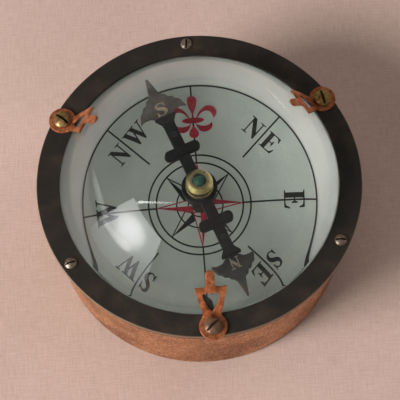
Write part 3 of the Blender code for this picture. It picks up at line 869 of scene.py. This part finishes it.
def build_dial():
    hole, under = 1.15, span("dial_card")[0].z
    attach_turned("dial_disc", [
        (hole, under), (CARD_RADIUS, under), (CARD_RADIUS, DIAL_TOP, 0.1), (hole, DIAL_TOP, 0.05)],
        DIAL_CARD, "dial_card", "dial_card", steps=160)

    # The ink is raised a little, and each kind of mark has its own level.
    low, high = DIAL_TOP + 0.005, DIAL_TOP + 0.045
    black, red = bmesh.new(), bmesh.new()
    thin, hair = 0.30, 0.20
    for radius, width in ((RING_A, thin), (RING_B, thin), (RING_C, thin), (RING_D, 0.26),
                          (RING_E, 0.24)):
        plate_mesh([circle((0, 0), radius + grow, 180) for grow in (width / 2, -width / 2)],
                   low, high, into=black)

    # Quarter lines run out from the points' tips; the ones between start clear of the rings.
    for first, start in ((0, RING_C), (45, 12.05)):
        for angle in range(first, 360, 90):
            plate_mesh([line(polar(start, angle), polar(RING_A, angle), thin)],
                       low, high + 0.004, into=black)

    # Eight points, each half filled and half outlined.
    for i in range(8):
        angle = 45 * i
        bm, level = (red, high + 0.012) if i % 2 == 0 else (black, high + 0.008)
        tip = polar(RING_C - 0.1, angle)
        valley, spread, inner = (1.85, 45, 1.2) if i % 2 == 0 else (3.0, 26, 1.9)
        left, right = polar(valley, angle + spread), polar(valley, angle - spread)
        root = polar(inner, angle)
        plate_mesh([[root, tip, left]], low, level, into=bm)
        plate_mesh([line(right, tip, hair)], low, level - 0.003, into=bm)
        plate_mesh([line(root, right, hair)], low, level - 0.003, into=bm)

    letters = []
    for angle, left, right in ((45, GLYPH_N, GLYPH_E), (-45, GLYPH_S, GLYPH_E),
                               (-135, GLYPH_S, GLYPH_W), (135, GLYPH_N, GLYPH_W)):
        letters += placed(left, 17.35, -0.55 - left[0] * 1.6, angle, 3.3)
        letters += placed(right, 17.35, 0.55 + right[0] * 1.6, angle, 3.3)
    letters += placed(GLYPH_E, 17.7, -0.05, 0, 3.9, wide=1.05)
    letters += placed(GLYPH_W, 17.45, 0.1, 180, 3.9)
    letters += placed(GLYPH_S, 17.55, 0.0, -90, 3.9, wide=1.05)
    for outline in letters:
        plate_mesh([outline], low, high + 0.006, into=black)
    for outline in fleur_outlines():
        plate_mesh([outline], low, high + 0.02, into=red)

    for name, bm, material in (("dial_print_black", black, INK_BLACK),
                               ("dial_print_red", red, INK_RED)):
        piece = finish_object(name, bm, material, turn=DIAL_TURN, weighted=False)
        attach(piece, "dial_card", body="housing")


# ---- Pivot ----
def build_pivot():
    low, high = span("pivot_post")
    stud, flange, bore = 1.1, 1.45, 0.55
    base, bore_foot = DIAL_TOP + SKIN, high.z - 1.6
    # The column is painted near black: painted shade under the needle's boss.
    attach_turned("pivot_column", [
        (0.0, low.z), (stud, low.z, 0.2), (stud, base), (flange, base, 0.05),
        (flange, base + 0.4, 0.12), (1.0, base + 0.55, 0.2), (0.95, high.z, 0.15),
        (bore, high.z, 0.1), (bore, bore_foot), (0.0, bore_foot)],
        PIVOT_SHADE_DARK, "plate_brass", "pivot_post", steps=64)

    low, high = span("pivot_pin")
    pin, point = 0.5, 0.04
    attach_turned("pivot_point", [
        (0.0, low.z), (pin, low.z), (pin, high.z - 1.5, 0.4), (point, high.z, 0.04),
        (0.0, high.z + SKIN)], PIVOT_STEEL, "pivot_steel", "pivot_pin", steps=40)

    # The pieces that the dial hides keep their CAD shapes.
    for node, material in (("dial_support", PLATE_BRASS), ("dial_plate", PLATE_BRASS),
                           ("pivot_washer", PIVOT_STEEL), ("pivot_nut", PLATE_BRASS)):
        frame["nodes"][node].material_slots[0].material = material


# ---- Needle ----
def blade_outline():
    """The blade with its round boss, square ends and two rounded stocks."""
    half, waist, boss, foot = 1.2, 0.25, 3.6, 2.2
    stock, reach = STOCK_HALF_WIDTH, STOCK_REACH
    end = [(half, STOCK_RADIUS - stock, waist), (reach, STOCK_RADIUS - stock, stock),
           (reach, STOCK_RADIUS + stock, stock), (half, STOCK_RADIUS + stock, waist),
           (half, BLADE_HALF_LENGTH - 1.7, 1.2), (foot, BLADE_HALF_LENGTH - 0.35, 0.15),
           (foot, BLADE_HALF_LENGTH, 0.12)]
    join = math.degrees(math.acos(half / boss))
    right = ([(x, -y, radius) for x, y, radius in reversed(end)]
             + arc((0.0, 0.0), boss, -join, join, 20) + end)
    return filleted(mirrored(right))


def head_outline():
    """An anchor's arms with scalloped shoulders and a spear tip, pointing along +Y."""
    tang = 1.0
    right = [(0.18, TIP_RADIUS, 0.14), (0.98, 21.6, 1.5), (1.4, 21.0, 0.5), (1.95, 20.75, 0.35),
             (2.35, 19.95, 0.12), (3.05, 19.75, 0.4), (3.5, 18.95, 0.12), (4.15, 18.6, 0.5),
             (4.55, 17.6, 0.8), (4.9, 16.6, 0.1), (3.9, 17.1, 0.8), (2.5, 17.0, 0.7),
             (1.6, 16.3, 0.5), (tang, 15.3, 0.3), (tang, RIVET_RADIUS - 1.4, 0.5)]
    return filleted(mirrored(right))


def build_blade():
    blade = plate_mesh([blade_outline(), circle((0.0, 0.0), 1.9, 40),
                        circle((0.0, RIVET_RADIUS), RIVET_HOLE, 20),
                        circle((0.0, -RIVET_RADIUS), RIVET_HOLE, 20)],
                       BLADE_UNDER, BLADE_TOP, edge=0.14)
    attach(finish_object("needle_bar", blade, BLADE_BLACK, turn=NEEDLE_REST), "blade_black",
           "needle_blade")

    # The stocks are thicker than the blade, with rounded backs.
    reach, half = STOCK_REACH, STOCK_HALF_WIDTH
    for side, centre in (("south", STOCK_RADIUS), ("north", -STOCK_RADIUS)):
        bar = filleted([(-reach, centre - half, half), (reach, centre - half, half),
                        (reach, centre + half, half), (-reach, centre + half, half)])
        bm = plate_mesh([bar], BLADE_TOP - 0.2, BLADE_TOP + 0.5, edge=0.34, steps=5)
        piece = finish_object("needle_stock_" + side, bm, BLADE_BLACK, turn=NEEDLE_REST)
        attach(piece, "blade_black", body="needle")


def build_needle_end(side, turn, material, letter):
    """An anchor head with its raised letter, and the rivet that holds it to the blade."""
    under, top = span("needle_head_" + side)[0].z, BLADE_UNDER - 0.01
    bm = plate_mesh([head_outline(), circle((0.0, RIVET_RADIUS), RIVET_HOLE, 20)],
                    under, top, edge=0.12)
    head = finish_object("needle_anchor_" + side, bm, material, turn=NEEDLE_REST + turn)
    attach(head, "head_gunmetal", "needle_head_" + side)

    bm = bmesh.new()
    for outline in letter:
        plate_mesh([outline], top - 0.03, top + 0.08, into=bm)
    piece = finish_object("needle_letter_" + side, bm, LETTER_BRASS, turn=NEEDLE_REST + turn,
                          weighted=False)
    attach(piece, "hub_brass", body="needle")

    node = "needle_rivet_" + side
    x, y = middle(node).xy
    foot, shank = span(node)[0].z + GAP, RIVET_HOLE - 0.1
    attach_turned("needle_pin_" + side, [
        (0.0, foot), (0.8, foot, 0.2), (0.9, under - 0.01, 0.1), (shank, under - 0.01),
        (shank, BLADE_TOP + 0.01), (0.62, BLADE_TOP + 0.01, 0.05), (0.5, BLADE_TOP + 0.16, 0.2),
        (0.0, BLADE_TOP + 0.22)], RIVET_STEEL, "pivot_steel", node, steps=40,
        location=(x, y, 0.0))


def build_needle():
    build_blade()
    build_needle_end("south", 0.0, HEAD_GREY, placed(GLYPH_S, 18.0, 0.0, 90, 2.75, wide=1.3))
    build_needle_end("north", 180.0, HEAD_DARK, placed(GLYPH_N, 18.0, 0.0, 90, 2.7, wide=0.9))


def build_hub():
    low = span("hub_cap")[0].z
    seat, top, rim = HUB_SEAT, HUB_TOP, HUB_RADIUS
    groove_low, groove_high = HUB_GROOVE
    sleeve, groove, jewel_hole, cavity = 1.6, 2.25, 1.48, 1.1
    attach_turned("hub_knob", [
        (cavity, low), (sleeve, low), (sleeve, seat), (rim, seat, 0.1),
        (rim, groove_low - 0.1, 0.12), (groove, groove_low, 0.05), (groove, groove_high, 0.05),
        (rim, groove_high + 0.1, 0.06), (rim - 0.02, seat + 1.64, 0.08), (2.1, top, 0.1),
        (jewel_hole + 0.1, top, 0.05), (jewel_hole, top - 0.08, 0.03), (jewel_hole, top - 1.0),
        (cavity, top - 1.0)], HUB_BRASS, "hub_brass", "hub_cap", steps=96)

    low, high = span("hub_collar")[0].z, BLADE_UNDER - SKIN
    inner, outer = 1.7, 3.2
    attach_turned("hub_clamp", [
        (inner, low, 0.1), (outer, low, 0.3), (outer, high, 0.15), (inner, high, 0.1)],
        BLADE_BLACK, "blade_black", "hub_collar", steps=64)

    low, radius = top - 0.95, jewel_hole - 0.03
    dome = smooth_path([(radius, top - 0.3), (0.92 * radius, top - 0.12),
                        (0.7 * radius, top + 0.06), (0.4 * radius, top + 0.18), (0.0, top + 0.24)])
    stone = [(0.0, low + 0.5), (0.5, low), (radius, low), *dome]
    attach(turned("hub_jewel", stone, JEWEL_GREEN, steps=64), "jewel_green", "cap_jewel")


# ---- Table and light ----
def build_stage():
    bm = bmesh.new()
    bmesh.ops.create_grid(bm, x_segments=8, y_segments=8, size=1.6)
    floor = finish_object("floor", bm, floor_cloth(), location=(0.0, 0.0, -SKIN), weighted=False)


def reflected_panel(glow, corners):
    """A studio panel that shows only in reflections; corners are in millimetres."""
    bm = bmesh.new()
    bm.faces.new([bm.verts.new(Vector(corner) * MM) for corner in corners])
    panel = finish_object(glow.material.name, bm, glow.material, weighted=False)
    for rays in ("camera", "diffuse", "transmission", "shadow"):
        setattr(panel, "visible_" + rays, False)


def glow_by_height(name, low, high, at_low, at_high):
    glow = Glow(name)
    glow.feed(Strength=glow.levels(glow.height(), low, high, at_low, at_high))
    return glow


def left_front(sideways, height):
    """A point on the upright plane at the left front where the softbox stands."""
    return Matrix.Rotation(math.radians(-150), 3, 'Z') @ Vector((230.0, sideways, height))


def build_panels():
    """A softbox, a window's edge above it, a low card in front and a dark flag overhead."""
    softbox = Glow("softbox")
    # A lamp's hot spot shines through the cloth, which is dimmer at its foot.
    hot = softbox.levels(softbox.distance(left_front(-8.0, 130.0)), 15.0, 85.0, 16.0, 5.0,
                         interpolation_type='SMOOTHERSTEP')
    foot = softbox.levels(softbox.height(), 0.0, 160.0, 0.25, 1.0)
    softbox.feed(Strength=softbox.product(hot, foot))
    cloth = ((-93.0, 0.0), (97.0, 0.0), (95.0, 198.0), (-86.0, 232.0))
    reflected_panel(softbox, [left_front(*corner) for corner in cloth])

    strip = ((-60.0, 228.0), (-30.0, 288.0), (77.0, 508.0), (77.0, 519.0), (-36.0, 303.0),
             (-66.0, 240.0))
    reflected_panel(glow_by_height("streak", 240.0, 480.0, 15.0, 1.5),
                    [left_front(*corner) for corner in strip])
    reflected_panel(glow_by_height("front_card", 30.0, 150.0, 0.45, 0.15),
                    [(x, -360, z) for x, z in ((-190, 30), (190, 30), (190, 150), (-190, 150))])
    reflected_panel(glow_by_height("flag", 0.0, 1000.0, 0.03, 0.03),
                    [(x, y, 900) for x, y in ((-500, -300), (500, -300), (500, 900), (-500, 900))])


def area_light(name, location, size, energy, colour, through_glass=True):
    """A round soft light aimed at the compass, kept out of reflections."""
    data = bpy.data.lights.new(name, 'AREA')
    data.shape = 'DISK'
    data.size = size
    data.energy = energy
    data.color = colour
    light = bpy.data.objects.new(name, data)
    bpy.context.scene.collection.objects.link(light)
    light.location = location
    light.rotation_euler = Vector(location).to_track_quat('Z', 'Y').to_euler()
    light.visible_glossy = False
    light.visible_camera = False
    light.visible_transmission = through_glass


def build_lamps():
    """The key from the left front, and weak fills from overhead and from the right."""
    away, height = polar(1.2, 36)
    area_light("key", (*polar(away, -156), height), 0.5, 22.5, (1.0, 0.97, 0.94))
    area_light("overhead", (0.05, 0.2, 1.3), 1.0, 3.6, (1.0, 0.96, 0.92), through_glass=False)
    area_light("side", (1.0, 0.45, 0.6), 0.6, 2.8, (1.0, 0.97, 0.95))


def build_world():
    world = bpy.data.worlds.new("studio")
    bpy.context.scene.world = world
    world.use_nodes = True
    background = world.node_tree.nodes["Background"]
    background.inputs["Color"].default_value = (1.0, 0.93, 0.88, 1.0)
    background.inputs["Strength"].default_value = 0.17


build_stage()
build_panels()
build_lamps()
build_world()
build_case()
build_bezel()
build_lens()
build_dial()
build_pivot()
build_needle()
build_hub()
build_screws()
build_clips()

bpy.context.scene.view_settings.view_transform = 'Standard'
